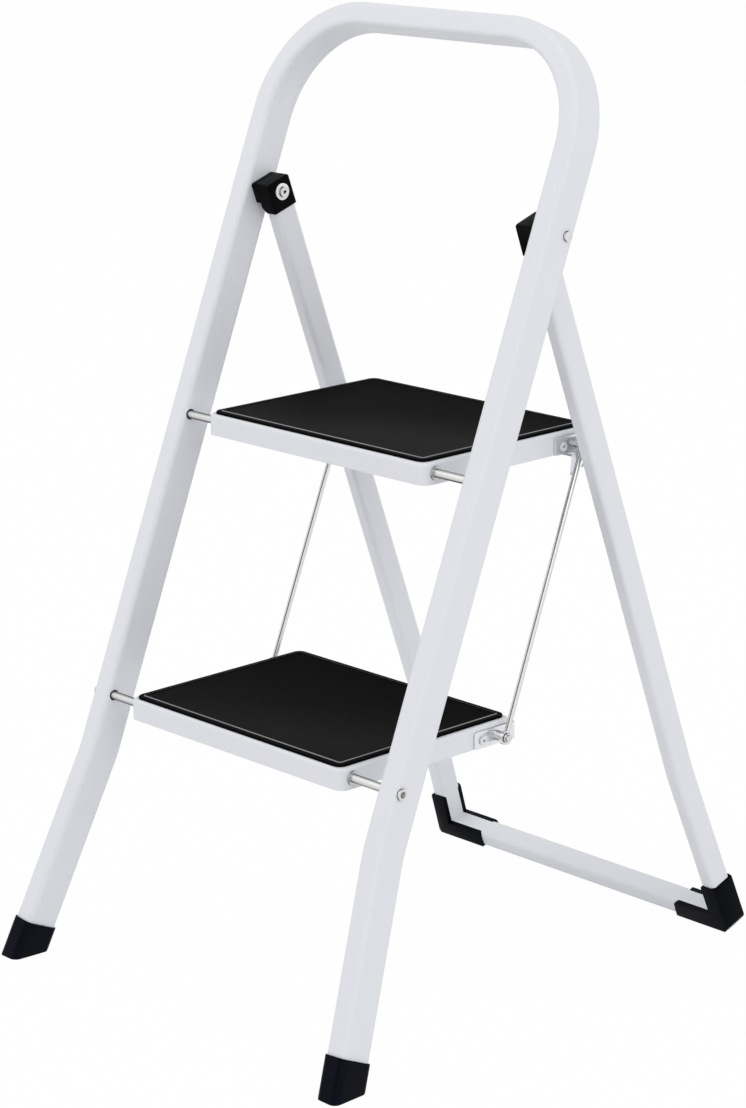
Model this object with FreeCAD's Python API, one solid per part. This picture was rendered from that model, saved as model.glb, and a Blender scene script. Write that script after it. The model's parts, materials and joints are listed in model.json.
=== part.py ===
import FreeCAD, Part
import math
import os
from FreeCAD import Rotation, Placement, Vector

# Folding two-step stool with a high handle. Millimetres, +Z up, the front faces -Y.
# The front frame is drawn in its own plane: x across, y front to back, z up along the leg.

# front frame: one flat tube bent to a tall hoop, its legs splayed near the floor
front_lean = 21.0            # degrees back from upright
front_width = 22.0           # tube size across the stool
front_depth = 35.0           # tube size front to back
front_corner = 5.0
front_wall = 1.2
front_half_span = 210.0      # stool centre to the outer face of a straight leg
front_spread = 28.5          # how far a foot stands outside its straight leg
front_bend_height = 216.0    # floor to the splay bend, along the leg
front_bend_radius = 120.0
hoop_above_pivot = 184.5     # pivot to the top of the hoop, along the leg
hoop_radius = 101.0          # at the middle of the tube
dent_depth = 2.5             # how far bending has pushed in the inner wall of the hoop
dent_half_width = 12.0

# rear frame: one smaller tube folded to a U, hung between the front legs
rear_width = 16.0
rear_depth = 25.0
rear_corner = 4.0
rear_wall = 1.2
rear_side_gap = 7.0          # between a front leg and the rear leg inside it, at the pivot
rear_upper_spread = 4.5      # outwards from the pivot to the splay bend
rear_spread = 15.0           # outwards from the bend to the floor
rear_bend_drop = 580.0       # pivot to the splay bend, along the leg
rear_bend_radius = 160.0
pivot_reach = 775.0          # floor to the pivot, along the front leg
pivot_from_back = 10.0       # pivot to the back face of the front leg
rear_end_above_pivot = 8.5

# treads
upper_tread_height = 520.8
lower_tread_height = 261.8
rod_below_tread = 12.3
rod_radius = 4.0
rod_from_front = 8.3         # rod to the front face of the leg
rod_hole_radius = 5.2        # in the inner wall of a leg
rod_head_radius = 5.2
rod_head_height = 2.2
rod_head_dimple = 2.2
tray_ahead_of_rod = 14.0
tray_length = 214.0
tread_pitch = 1.0            # degrees, back edge up
tray_height = 20.1
tray_corner = 10.0
tray_edge_round = 3.0
tray_sheet = 1.2
mat_side_inset = 5.5
mat_end_inset = 3.5
mat_thickness = 2.5
mat_corner = 8.0
mat_bead_inset = 5.5
mat_bead_width = 1.4
mat_bead_height = 0.5
channel_width = 44.0
channel_depth = 9.0
channel_flange = 12.0

# side plates, pins and link rods, stacked inwards from the rear legs
plate_sheet = 2.0
plate_above_rod = 6.0
plate_corner = 3.0
plate_ahead_of_rivet = 10.0
rivet_ahead_of_pin = 18.0
pin_from_back = 23.0         # back edge of a tread to its link pin
link_drop = 2.0              # link pin below rod
pin_radius = 3.0
pin_shoulder_radius = 4.5
pin_side_gap = 1.0           # tip of a link pin to the top of the rear leg
pin_past_link = 5.6          # middle of a link rod to the tip of its pin
link_stand_off = 8.4         # side plate to the middle of a link rod
link_spread = 2.5            # how much further out its lower eye sits
link_radius = 2.5
link_eye_wall = 3.2
link_eye_thickness = 4.0
catch_radius = 4.0
catch_from_back = 12.75      # back edge of the upper tread to the middle of the catch rod
catch_below_tray = 5.5
hook_ahead_of_catch = 14.8   # front edge of the hook, at the tray
hook_behind_catch = 11.0
hook_lean = 2.5              # how much further forward that edge is at its foot
hook_slot_slope = 34.0       # degrees from upright, mouth to the front
hook_toe_below_catch = 12.7
hook_tip_below_catch = 16.2
hook_heel_below_catch = 7.0
hook_lip = 4.8               # how far the front edge is bent outwards

# plastic ends
foot_wall = 1.8
foot_length = 45.0
foot_sole = 3.5
foot_bevel = 3.5             # cut off the heel
cap_wall = 0.8
cap_below_pivot = 17.4
cap_above_pivot = 12.6
cap_front_wall = 2.5
cap_round = 9.0
cap_edge_round = 2.0
cap_outer_foot = 7.0         # pivot to the foot of the block beside the front leg
cap_bevel = 5.0              # cut off the foot of the cap, towards the front leg
cap_groove = 0.9
cover_wall = 1.5
cover_leg_arm = 52.0
cover_bar_arm = 66.0
cover_corner = 6.0
cover_end_round = 3.0
cover_flat = 1.0             # worn flat where the cover meets the floor

# fasteners
bolt_radius = 3.0
bolt_head_radius = 5.0
bolt_head_height = 3.2
bolt_socket_radius = 1.9
washer_radius = 8.0
washer_thickness = 1.0
nut_radius = 4.6
nut_height = 2.6
rivet_radius = 2.4
rivet_drop = 3.0             # plate rivet below the rod
rivet_head_radius = 4.2
rivet_head_height = 1.6
retainer_radius = 6.5
retainer_thickness = 1.4
clip_radius = 4.6
clip_thickness = 1.2

# clearances
running = 0.06               # radial, pin in a hole it turns in
loose = 0.40                 # radial, lower eye of a link rod on its pin
hook_play = 0.7              # radial, catch rod in its hook
hook_seat_gap = 0.3          # catch rod to the end of the slot it hangs in
face_play = 0.15             # between flat faces that slide

lean = math.radians(front_lean)
hoop_length = pivot_reach + hoop_above_pivot
front_inner = front_half_span - front_width
rear_outer = front_inner - rear_side_gap
rear_inner = rear_outer - rear_width
pivot_depth = front_depth - pivot_from_back
pin_end = rear_inner - pin_side_gap
link_centre = pin_end - pin_past_link
tray_half_width = link_centre - link_stand_off - plate_sheet
tray_top = rod_below_tread - mat_thickness
tray_low = tray_top - tray_height
tray_back = tray_length - tray_ahead_of_rod
link_reach = tray_back - pin_from_back
rivet_reach = link_reach - rivet_ahead_of_pin
held_at = (tray_back - catch_from_back, tray_low - catch_below_tray)


def leaned(across, deep, along):
    """Point of the front frame's plane, in the upright frame."""
    return Vector(across, along * math.sin(lean) + deep * math.cos(lean),
                  along * math.cos(lean) - deep * math.sin(lean))


def leg_reach_at(height, deep):
    """Distance along the front leg at which a point so deep lies at this height."""
    return (height + deep * math.sin(lean)) / math.cos(lean)


def rod_of(tread_height):
    """Middle of the rod that carries a tread of this height."""
    height = tread_height - rod_below_tread
    return leaned(0, rod_from_front, leg_reach_at(height, rod_from_front))


def on_tread(rod, reach, rise, across=0.0):
    """Point so far behind and above the rod of a tread, along the tread's own slope."""
    pitch = math.radians(tread_pitch)
    back = reach * math.cos(pitch) - rise * math.sin(pitch)
    up = reach * math.sin(pitch) + rise * math.cos(pitch)
    return rod + Vector(across, back, up)


pivot = leaned(0, pivot_depth, pivot_reach)
upper_rod = rod_of(upper_tread_height)
lower_rod = rod_of(lower_tread_height)
catch = on_tread(upper_rod, *held_at)

# the rear leg leans so that the rod between the rear legs lies in the hooks of the upper tread
catch_behind = rear_depth / 2 - catch_radius
catch_drop = math.sqrt((catch - pivot).Length ** 2 - catch_behind ** 2)
tilt = math.atan2(catch.y - pivot.y, pivot.z - catch.z) - math.atan2(catch_behind, catch_drop)

# the rear frame is as long as it takes for its covers to stand on the floor
rear_reach = (pivot.z + cover_flat - (rear_depth / 2 + cover_wall) * math.sin(tilt)) / math.cos(tilt)
rear_reach -= cover_wall

front_turn = Placement(Vector(0, 0, 0), Rotation(Vector(1, 0, 0), -front_lean))
rear_turn = Placement(pivot, Rotation(Vector(1, 0, 0), math.degrees(tilt)))


def rounded_rectangle(width, depth, corner, z=0):
    """Closed wire centred on the origin, at height z."""
    a, b, r = width / 2, depth / 2, corner
    turns = [(a - r, b - r, 0), (-a + r, b - r, 90), (-a + r, -b + r, 180), (a - r, -b + r, 270)]
    edges = []
    for x, y, start in turns:
        arc = Part.Circle(Vector(x, y, z), Vector(0, 0, 1), r)
        edges.append(arc.trim(math.radians(start), math.radians(start + 90)).toShape())
    ends = [(e.valueAt(e.FirstParameter), e.valueAt(e.LastParameter)) for e in edges]
    wire = []
    for i in range(4):
        wire.append(edges[i])
        gap_start, gap_end = ends[i][1], ends[(i + 1) % 4][0]
        wire.append(Part.LineSegment(gap_start, gap_end).toShape())
    return Part.Wire(wire)


def bevelled_rectangle(width, depth, corner):
    """As rounded_rectangle, with each round replaced by the flat that touches it in its middle."""
    a, b, cut = width / 2, depth / 2, corner * (2 - math.sqrt(2))
    corners = [(a, b - cut), (a - cut, b), (cut - a, b), (-a, b - cut),
               (-a, cut - b), (cut - a, -b), (a - cut, -b), (a, cut - b)]
    points = [Vector(x, y, 0) for x, y in corners]
    return Part.makePolygon(points + [points[0]])


def bent_tube(points, radii, outline):
    """Solid of the outline carried along points of an x-z plane, round at each bend."""
    heading = (points[1] - points[0]).normalize()
    section = Part.Face(outline)
    back = Vector(0, 1, 0)
    section.Placement = Placement(points[0], Rotation(back.cross(heading), back, heading, "ZYX"))
    place = points[0]
    pieces = []
    for i in range(1, len(points) - 1):
        ahead = (points[i + 1] - points[i]).normalize()
        turn = heading.getAngle(ahead)
        setback = radii[i - 1] * math.tan(turn / 2)
        bend_start = points[i] - heading * setback
        pieces.append(section.extrude(bend_start - place))
        section.translate(bend_start - place)
        axis = heading.cross(ahead).normalize()
        centre = bend_start + axis.cross(heading) * radii[i - 1]
        pieces.append(section.revolve(centre, axis, math.degrees(turn)))
        section.rotate(centre, axis, math.degrees(turn))
        place = points[i] + ahead * setback
        heading = ahead
    pieces.append(section.extrude(points[-1] - place))
    return pieces[0].fuse(pieces[1:]).removeSplitter()


def rod_along_x(radius, low, high, y=0, z=0):
    return Part.makeCylinder(radius, high - low, Vector(low, y, z), Vector(1, 0, 0))


def prism_along_x(outline, low, high):
    """Extrude a closed (y, z) outline from x = low to x = high."""
    points = [Vector(low, y, z) for y, z in outline]
    face = Part.Face(Part.makePolygon(points + [points[0]]))
    return face.extrude(Vector(high - low, 0, 0))


def mirrored(shape):
    return shape.mirror(Vector(0, 0, 0), Vector(1, 0, 0))


def pair(shape):
    """The piece and its twin on the other side of the stool."""
    return Part.makeCompound([shape, mirrored(shape)])


# ---- front frame ---------------------------------------------------------------

def front_points():
    leg = front_half_span - front_width / 2
    foot = leg + front_spread * (front_bend_height + foot_length) / front_bend_height
    top = hoop_length - front_width / 2
    y = front_depth / 2
    return [Vector(-foot, y, -foot_length), Vector(-leg, y, front_bend_height), Vector(-leg, y, top),
            Vector(leg, y, top), Vector(leg, y, front_bend_height), Vector(foot, y, -foot_length)]


def above(height, shape):
    """Keep what lies above this height."""
    size = 4000.0
    return shape.common(Part.makeBox(size, size, size, Vector(-size / 2, -size / 2, height)))


def front_solid(grow=0.0, outline=rounded_rectangle):
    radii = [front_bend_radius, hoop_radius, hoop_radius, front_bend_radius]
    section = outline(front_width + 2 * grow, front_depth + 2 * grow, front_corner + grow)
    tube = bent_tube(front_points(), radii, section)
    tube.Placement = front_turn.multiply(tube.Placement)
    return tube


def hoop_dents(grow=0.0):
    """Rings that hollow the inner wall at both bends of the hoop, deepest in mid bend."""
    ring = (dent_half_width ** 2 + dent_depth ** 2) / (2 * dent_depth)
    shift = dent_depth / (1 - math.sqrt(0.5))
    reach = hoop_radius - front_width / 2 + dent_depth - shift
    bend_x = front_half_span - front_width / 2 - hoop_radius
    bend_z = hoop_length - front_width / 2 - hoop_radius
    rings = []
    for side in (-1, 1):
        centre = Vector(side * bend_x, front_depth / 2, bend_z) + Vector(side, 0, 1).normalize() * shift
        rings.append(Part.makeTorus(reach - ring, ring + grow, centre, Vector(0, 1, 0)))
    dents = Part.makeCompound(rings)
    dents.Placement = front_turn.multiply(dents.Placement)
    return dents


def make_front_frame():
    bore = front_solid(-front_wall, bevelled_rectangle).cut(hoop_dents(front_wall))
    tube = above(foot_sole, front_solid().cut(hoop_dents()).cut(bore))
    middle = front_half_span - front_width / 2
    past = front_half_span + front_wall
    for rod in (upper_rod, lower_rod):
        tube = tube.cut(rod_along_x(rod_hole_radius, -middle, middle, rod.y, rod.z))
    tube = tube.cut(make_upper_rod())
    tube = tube.cut(rod_along_x(rod_radius, -past, past, lower_rod.y, lower_rod.z))
    return tube.cut(rod_along_x(bolt_radius, -past, past, pivot.y, pivot.z))


def make_front_foot():
    outer = front_solid(foot_wall)
    size = 400.0
    keep = Part.makeBox(size, size, size, Vector(0, -size / 2, foot_length - size))
    keep.Placement = front_turn.multiply(keep.Placement)
    cup = above(0, outer.common(keep))
    heel = leaned(0, front_depth + foot_wall, leg_reach_at(0, front_depth + foot_wall))
    bevel = Part.makeBox(size, foot_bevel * 2, foot_bevel * 4, Vector(0, 0, -foot_bevel * 2))
    bevel.Placement = Placement(heel - Vector(0, foot_bevel, 0), Rotation(Vector(1, 0, 0), -45))
    return cup.cut(bevel).cut(above(foot_sole, front_solid()))


def make_upper_rod():
    end = front_half_span - front_wall
    return rod_along_x(rod_radius, -end, end, upper_rod.y, upper_rod.z)


def make_lower_rod():
    end = front_half_span
    rod = rod_along_x(rod_radius, -end, end, lower_rod.y, lower_rod.z)
    head = rivet_head(rod_head_radius, rod_head_height, rod_head_dimple)
    head.translate(Vector(end, lower_rod.y, lower_rod.z))
    return rod.fuse(pair(head)).removeSplitter()


def rivet_head(radius, height, dimple=0.0):
    """Low head standing on x = 0, with an optional dimple in its top."""
    head = rod_along_x(radius, 0, height)
    if dimple:
        head = head.cut(rod_along_x(dimple, height / 2, height))
    return head


def make_retainer(rod):
    low = tray_half_width + face_play
    disc = rod_along_x(retainer_radius, low, low + retainer_thickness, rod.y, rod.z)
    return pair(disc.cut(rod_along_x(rod_radius, low - 1, low + retainer_thickness + 1, rod.y, rod.z)))


# ---- pivot: bolt, washer and nut on each side --------------------------------------

cap_inner_face = rear_inner - cap_wall
cap_outer_face = rear_outer + cap_wall


def make_pivot_bolt():
    seat = cap_inner_face - face_play - washer_thickness
    shank = rod_along_x(bolt_radius, seat, front_half_span, pivot.y, pivot.z)
    head = mirrored(rivet_head(bolt_head_radius, bolt_head_height))
    head = head.cut(hexagon(bolt_socket_radius, -bolt_head_height, -bolt_head_height / 3))
    head.translate(Vector(seat, pivot.y, pivot.z))
    return pair(shank.fuse(head).removeSplitter())


def hexagon(radius, low, high):
    corners = []
    for i in range(6):
        turn = math.radians(60 * i)
        corners.append((radius * math.cos(turn), radius * math.sin(turn)))
    return prism_along_x(corners, low, high)


def make_pivot_washer():
    high = cap_inner_face - face_play
    low = high - washer_thickness
    disc = rod_along_x(washer_radius, low, high, pivot.y, pivot.z)
    return pair(disc.cut(rod_along_x(bolt_radius, low, high, pivot.y, pivot.z)))


def make_pivot_nut():
    """Closed nut on the end of the bolt."""
    nut = rivet_head(nut_radius, nut_height)
    nut.translate(Vector(front_half_span, pivot.y, pivot.z))
    return pair(nut)


# ---- rear frame, drawn with the pivot at the origin and z up along the leg -----------

def rear_corner_x(drop):
    """Middle of the rear leg at this distance below the pivot."""
    top = rear_outer - rear_width / 2
    if drop <= rear_bend_drop:
        return top + rear_upper_spread * drop / rear_bend_drop
    past = (drop - rear_bend_drop) / (rear_reach - rear_bend_drop)
    return top + rear_upper_spread + rear_spread * past


def rear_solid(grow=0.0, outline=rounded_rectangle):
    """Both legs and the floor bar, mitred where the tube is notched and folded."""
    section = outline(rear_width + 2 * grow, rear_depth + 2 * grow, rear_corner + grow)
    bar_drop = rear_reach - rear_width / 2
    slope = rear_spread / (rear_reach - rear_bend_drop)
    corner_x = rear_corner_x(bar_drop)
    past = 2 * rear_width
    ends = [Vector(side * (corner_x + past), 0, -bar_drop) for side in (-1, 1)]
    bar = bent_tube(ends, [], section)
    angle = (math.pi / 2 - math.atan(slope)) / 2
    legs = []
    for side in (-1, 1):
        points = [Vector(side * rear_corner_x(-rear_end_above_pivot), 0, rear_end_above_pivot),
                  Vector(side * rear_corner_x(rear_bend_drop), 0, -rear_bend_drop),
                  Vector(side * rear_corner_x(bar_drop + past), 0, -bar_drop - past)]
        mitre = Vector(side * math.sin(angle), 0, math.cos(angle))
        corner = Vector(side * corner_x, 0, -bar_drop)
        leg = bent_tube(points, [rear_bend_radius], section)
        legs.append(leg.cut(half_space(corner, mitre, -1)))
        bar = bar.cut(half_space(corner, mitre, 1))
    return bar.fuse(legs).removeSplitter()


def half_space(point, normal, side):
    """Large block on one side of the plane through the point."""
    size = 1200.0
    block = Part.makeBox(size, size, size, Vector(-size / 2, -size / 2, 0 if side > 0 else -size))
    block.Placement = Placement(point, Rotation(Vector(0, 0, 1), normal))
    return block


def make_rear_frame():
    tube = rear_solid().cut(rear_solid(-rear_wall, bevelled_rectangle))
    return tube.cut(rod_along_x(bolt_radius + running, -rear_outer - 1, rear_outer + 1))


def make_catch_rod():
    """Rod welded between the rear legs, where the upper tread hooks on."""
    end = rear_corner_x(catch_drop) - rear_width / 2 + rear_wall / 2
    rod = rod_along_x(catch_radius, -end, end, catch_behind, -catch_drop)
    return rod.cut(rear_solid())


def make_rear_cap():
    """Cap over the top of a rear leg, with a shorter block that fills the gap to the front leg."""
    front = -rear_depth / 2 - cap_front_wall
    back = rear_depth / 2 + cap_wall
    low, high = -cap_below_pivot, cap_above_pivot
    outline = [(cap_inner_face, low), (cap_inner_face, high), (cap_outer_face, high),
               (cap_outer_face, low + cap_bevel), (cap_outer_face - cap_bevel, low)]
    points = [Vector(x, front, z) for x, z in outline]
    sleeve = Part.Face(Part.makePolygon(points + [points[0]])).extrude(Vector(0, back - front, 0))
    sleeve = sleeve.makeFillet(cap_round, edges_at(sleeve, y=front, z=high))
    sleeve = sleeve.makeFillet(cap_edge_round, edges_at(sleeve, y=back, z=high))
    sleeve = sleeve.makeFillet(cap_edge_round / 2, edges_at(sleeve, x=cap_inner_face, y=back))
    block_end = front_inner - face_play
    block = Part.makeBox(block_end - cap_outer_face, back - front, high + cap_outer_foot,
                         Vector(cap_outer_face, front, -cap_outer_foot))
    rims = edges_at(block, y=front, z=high) + edges_at(block, y=back, z=high)
    block = block.makeFillet(cap_edge_round, rims)
    groove = Part.makeBox(cap_groove, back - front, cap_groove,
                          Vector(cap_outer_face, front, high - cap_groove))
    cap = sleeve.fuse(block).removeSplitter().cut(groove).cut(rear_solid())
    return cap.cut(rod_along_x(bolt_radius + running, cap_inner_face - 1, front_inner))


def edges_at(shape, x=None, y=None, z=None):
    """Straight edges that lie on all the given planes."""
    found = []
    for edge in shape.Edges:
        ends = [vertex.Point for vertex in edge.Vertexes]
        on_x = x is None or all(abs(p.x - x) < 0.01 for p in ends)
        on_y = y is None or all(abs(p.y - y) < 0.01 for p in ends)
        on_z = z is None or all(abs(p.z - z) < 0.01 for p in ends)
        if on_x and on_y and on_z:
            found.append(edge)
    return found


def make_corner_cover():
    """Channel that wraps the outside of a rear corner, open towards the inside."""
    outer_x = rear_corner_x(rear_reach) + rear_width / 2 + cover_wall
    bar_top = -rear_reach + rear_width
    arm_top = -rear_reach - cover_wall + cover_leg_arm
    low = -rear_reach - cover_wall
    depth = rear_depth / 2 + cover_wall
    lean_in = rear_spread / (rear_reach - rear_bend_drop)
    top_shift = lean_in * (arm_top - low)
    inner_top = rear_corner_x(-arm_top) - rear_width / 2
    inner_low = rear_corner_x(-bar_top) - rear_width / 2
    outline = [(outer_x, low), (outer_x - top_shift, arm_top), (inner_top, arm_top), (inner_low, bar_top),
               (outer_x - cover_bar_arm, bar_top), (outer_x - cover_bar_arm, low)]
    points = [Vector(x, -depth, z) for x, z in outline]
    block = Part.Face(Part.makePolygon(points + [points[0]])).extrude(Vector(0, 2 * depth, 0))
    block = block.makeFillet(cover_corner, edges_at(block, x=outer_x, z=low))
    ends = edges_at(block, x=outer_x - cover_bar_arm) + edges_at(block, z=arm_top)
    ends = [edge for edge in ends if abs(edge.Length - 2 * depth) < 0.01]
    block = block.makeFillet(cover_end_round, ends)
    return block.cut(rear_solid())


# ---- treads, drawn with their rod at the origin -------------------------------------

tray_middle = tray_length / 2 - tray_ahead_of_rod


def tray_block(shrink, top, bottom):
    width = 2 * (tray_half_width - shrink)
    wire = rounded_rectangle(width, tray_length - 2 * shrink, tray_corner - shrink)
    block = Part.Face(wire).extrude(Vector(0, 0, top - bottom))
    block.translate(Vector(0, tray_middle, bottom))
    rim = [edge for edge in block.Edges if all(abs(v.Z - top) < 0.01 for v in edge.Vertexes)]
    return block, rim


def make_tray():
    outer, rim = tray_block(0, tray_top, tray_low)
    outer = outer.makeFillet(tray_edge_round, rim)
    inner, rim = tray_block(tray_sheet, tray_top - tray_sheet, tray_low - tray_height)
    inner = inner.makeChamfer((tray_edge_round - tray_sheet) * (2 - math.sqrt(2)), rim)
    tray = outer.cut(inner)
    past = tray_half_width + tray_sheet
    tray = tray.cut(rod_along_x(rod_radius + running, -past, past))
    tray = tray.cut(rod_along_x(rivet_radius, -past, past, rivet_reach, -rivet_drop))
    return tray.cut(rod_along_x(pin_radius, -past, past, link_reach, -link_drop))


def make_mat():
    width = 2 * (tray_half_width - mat_side_inset)
    length = tray_length - 2 * mat_end_inset
    base = Part.Face(rounded_rectangle(width, length, mat_corner)).extrude(Vector(0, 0, mat_thickness))
    inset = mat_bead_inset
    bead = Part.Face(rounded_rectangle(width - 2 * inset, length - 2 * inset, mat_corner))
    inset += mat_bead_width
    inner_corner = mat_corner - mat_bead_width
    hollow = Part.Face(rounded_rectangle(width - 2 * inset, length - 2 * inset, inner_corner))
    ring = bead.cut(hollow).extrude(Vector(0, 0, mat_thickness + mat_bead_height))
    mat = base.fuse(ring).removeSplitter()
    mat.translate(Vector(0, tray_middle, tray_top))
    return mat


def make_channel():
    """Hat channel under the tread, welded to its underside."""
    roof = tray_top - tray_sheet
    half = channel_width / 2
    t = tray_sheet
    drop = channel_depth
    f = channel_flange
    outline = [(-half - f, 0), (-half - f, -t), (-half, -t), (-half, -drop), (half, -drop), (half, -t),
               (half + f, -t), (half + f, 0), (half - t, 0), (half - t, t - drop), (t - half, t - drop),
               (t - half, 0)]
    outline = [(tray_middle + y, roof + z) for y, z in outline]
    end = tray_half_width - tray_edge_round
    return prism_along_x(outline, -end, end)


def drilled(plate):
    low, high = tray_half_width - 1, tray_half_width + plate_sheet + 1
    plate = plate.cut(rod_along_x(rivet_radius, low, high, rivet_reach, -rivet_drop))
    return plate.cut(rod_along_x(pin_radius, low, high, link_reach, -link_drop))


plate_start = rivet_reach - plate_ahead_of_rivet


def make_link_plate():
    outline = [(plate_start, plate_above_rod), (plate_start, tray_low), (tray_back, tray_low),
               (tray_back, plate_above_rod)]
    plate = prism_along_x(outline, tray_half_width, tray_half_width + plate_sheet)
    corners = [edge for edge in edges_at(plate, y=plate_start) if edge.Length < 2 * plate_sheet]
    return drilled(plate.makeFillet(plate_corner, corners))


def make_hook_plate():
    """Side plate with a hook below it: a slot open to the front and down, and a bent front lip."""
    low, high = tray_half_width, tray_half_width + plate_sheet
    slope = math.radians(hook_slot_slope)
    mouth = Vector(0, -math.sin(slope), -math.cos(slope))
    across = Vector(0, math.cos(slope), -math.sin(slope)) * (catch_radius + hook_play)
    held = Vector(low, *held_at)
    seat = held + mouth * (hook_play - hook_seat_gap)
    toe_z, heel_z = held.z - hook_toe_below_catch, held.z - hook_heel_below_catch
    tip_z = held.z - hook_tip_below_catch
    tip = seat - across + mouth * ((seat.z - across.z - tip_z) / -mouth.z)
    front, back = held.y - hook_ahead_of_catch, held.y + hook_behind_catch
    toe = front - hook_lean
    outline = [(plate_start, plate_above_rod), (plate_start, tray_low), (front, tray_low),
               (toe, toe_z), (tip.y, tip_z), (back, heel_z), (back, tray_low),
               (tray_back, tray_low), (tray_back, plate_above_rod)]
    plate = prism_along_x(outline, low, high)
    slot_end = seat + mouth * 2 * hook_tip_below_catch
    corners = [seat + across, slot_end + across, slot_end - across, seat - across]
    slot = Part.Face(Part.makePolygon(corners + [corners[0]])).extrude(Vector(plate_sheet, 0, 0))
    plate = plate.cut(slot).cut(rod_along_x(catch_radius + hook_play, low, high, seat.y, seat.z))
    lip = [(front, tray_low), (toe, toe_z), (toe + plate_sheet, toe_z), (front + plate_sheet, tray_low)]
    plate = plate.fuse(prism_along_x(lip, low, high + hook_lip)).removeSplitter()
    bend_start, bend_end = Vector(low, front, tray_low), Vector(low, toe, toe_z)
    bend = [edge for edge in plate.Edges if is_between(edge, bend_start, bend_end)]
    return drilled(plate.makeFillet(plate_sheet * 0.9, bend))


def is_between(edge, first, last):
    """True if the edge joins the two points."""
    ends = [vertex.Point for vertex in edge.Vertexes]
    if len(ends) < 2:
        return False
    there = (ends[0] - first).Length + (ends[1] - last).Length
    back = (ends[0] - last).Length + (ends[1] - first).Length
    return min(there, back) < 0.01


def make_plate_rivets():
    inside = tray_half_width - tray_sheet
    outside = tray_half_width + plate_sheet
    rivet = rod_along_x(rivet_radius, inside, outside)
    head = rivet_head(rivet_head_radius, rivet_head_height, rivet_radius / 2)
    head.translate(Vector(outside, 0, 0))
    tail = mirrored(rivet_head(rivet_head_radius, rivet_head_height))
    tail.translate(Vector(inside, 0, 0))
    rivet = rivet.fuse([head, tail]).removeSplitter()
    rivet.translate(Vector(0, rivet_reach, -rivet_drop))
    return pair(rivet)


def make_link_pins(spread):
    inside = tray_half_width - tray_sheet
    outside = tray_half_width + plate_sheet
    shoulder_end = link_centre + spread - link_radius - face_play
    pin = rod_along_x(pin_radius, inside, pin_end + spread)
    shoulder = rod_along_x(pin_shoulder_radius, outside, shoulder_end)
    head = mirrored(rivet_head(rivet_head_radius, rivet_head_height))
    head.translate(Vector(inside, 0, 0))
    pin = pin.fuse([shoulder, head]).removeSplitter()
    pin.translate(Vector(0, link_reach, -link_drop))
    return pair(pin)


def make_pin_clips(spread):
    low = link_centre + spread + link_radius + face_play
    clip = rod_along_x(clip_radius, low, low + clip_thickness)
    clip = clip.cut(rod_along_x(pin_radius, low - 1, low + clip_thickness + 1))
    clip.translate(Vector(0, link_reach, -link_drop))
    return pair(clip)


def make_link_rod():
    """Wire rod with a flattened eye at each end, from the upper pin to the lower one."""
    top = on_tread(upper_rod, link_reach, -link_drop, link_centre)
    low = on_tread(lower_rod, link_reach, -link_drop, link_centre + link_spread)
    span = low - top
    rod = Part.makeCylinder(link_radius, span.Length, top, span)
    for end, play in ((top, running), (low, loose)):
        half = link_eye_thickness / 2
        eye = rod_along_x(pin_radius + play + link_eye_wall, end.x - half, end.x + half, end.y, end.z)
        past = 2 * link_radius
        hole = rod_along_x(pin_radius + play, end.x - past, end.x + past, end.y, end.z)
        rod = rod.fuse(eye).cut(hole)
    return rod.removeSplitter()


# ---- assembly ---------------------------------------------------------------------

def set_at(shape, rod):
    """A tread's piece at its rod, with the tread's slope."""
    shape.rotate(Vector(0, 0, 0), Vector(1, 0, 0), tread_pitch)
    shape.translate(rod)
    return shape


def turned(shape):
    shape.Placement = rear_turn.multiply(shape.Placement)
    return shape


def make_pieces():
    pieces = {}
    pieces["front_frame_tube"] = make_front_frame()
    foot = make_front_foot()
    pieces["right_front_foot"] = foot
    pieces["left_front_foot"] = mirrored(foot)
    pieces["upper_step_rod"] = make_upper_rod()
    pieces["lower_step_rod"] = make_lower_rod()
    pieces["upper_rod_retainers"] = make_retainer(upper_rod)
    pieces["lower_rod_retainers"] = make_retainer(lower_rod)
    pieces["pivot_bolts"] = make_pivot_bolt()
    pieces["pivot_washers"] = make_pivot_washer()
    pieces["pivot_nuts"] = make_pivot_nut()

    pieces["rear_frame_tube"] = turned(make_rear_frame())
    pieces["catch_rod"] = turned(make_catch_rod())
    cap = turned(make_rear_cap())
    pieces["right_rear_leg_cap"] = cap
    pieces["left_rear_leg_cap"] = mirrored(cap)
    cover = above(0, turned(make_corner_cover()))
    pieces["right_rear_corner_cover"] = cover
    pieces["left_rear_corner_cover"] = mirrored(cover)

    for step, rod, spread in (("upper", upper_rod, 0.0), ("lower", lower_rod, link_spread)):
        plate = make_hook_plate() if step == "upper" else make_link_plate()
        kind = "hook" if step == "upper" else "link"
        pieces[step + "_step_tray"] = set_at(make_tray(), rod)
        pieces[step + "_step_mat"] = set_at(make_mat(), rod)
        pieces[step + "_step_channel"] = set_at(make_channel(), rod)
        pieces[step + "_right_" + kind + "_plate"] = set_at(plate, rod)
        pieces[step + "_left_" + kind + "_plate"] = mirrored(plate)
        pieces[step + "_plate_rivets"] = set_at(make_plate_rivets(), rod)
        pieces[step + "_link_pins"] = set_at(make_link_pins(spread), rod)
        pieces[step + "_pin_clips"] = set_at(make_pin_clips(spread), rod)

    rod = make_link_rod()
    pieces["right_link_rod"] = rod
    pieces["left_link_rod"] = mirrored(rod)
    return pieces


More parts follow.
